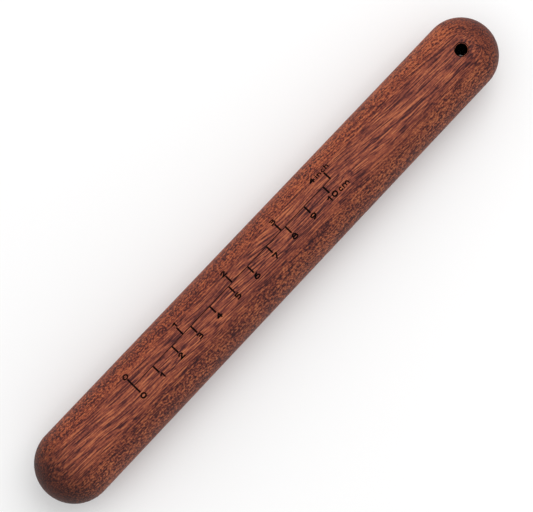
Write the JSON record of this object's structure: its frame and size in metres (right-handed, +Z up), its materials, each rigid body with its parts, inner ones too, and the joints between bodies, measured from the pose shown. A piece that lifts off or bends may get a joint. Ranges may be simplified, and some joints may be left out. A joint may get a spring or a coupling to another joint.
{
  "type": "ring sizer stick",
  "caption": "Round, slightly tapered hardwood stick with domed ends, a burnt length scale in centimetres and inches, and a cross hole for hanging.",
  "frame": {"origin": "the middle of the stick's length, on the surface it lies on", "axes": "+X along the stick towards the end with the cross hole; +Z up, along the cross hole; +Y towards the inch side of the scale"},
  "size_m": [0.237, 0.03, 0.03],
  "materials": {
    "hardwood": "oiled satin",
    "burnt_line": "matt, lightly scorched",
    "burnt_marks": "matt, charred"
  },
  "bodies": {
    "root": {"stick_body": "hardwood", "scale_line": "burnt_line", "centimetre_ticks": "burnt_marks", "inch_ticks": "burnt_marks", "centimetre_numeral_0": "burnt_marks", "centimetre_numeral_1": "burnt_marks", "centimetre_numeral_2": "burnt_marks", "centimetre_numeral_3": "burnt_marks", "centimetre_numeral_4": "burnt_marks", "centimetre_numeral_5": "burnt_marks", "centimetre_numeral_6": "burnt_marks", "centimetre_numeral_7": "burnt_marks", "centimetre_numeral_8": "burnt_marks", "centimetre_numeral_9": "burnt_marks", "centimetre_numeral_10": "burnt_marks", "inch_numeral_0": "burnt_marks", "inch_numeral_1": "burnt_marks", "inch_numeral_2": "burnt_marks", "inch_numeral_3": "burnt_marks", "inch_numeral_4": "burnt_marks", "centimetre_unit": "burnt_marks", "inch_unit": "burnt_marks"}
  },
  "joints": []
}
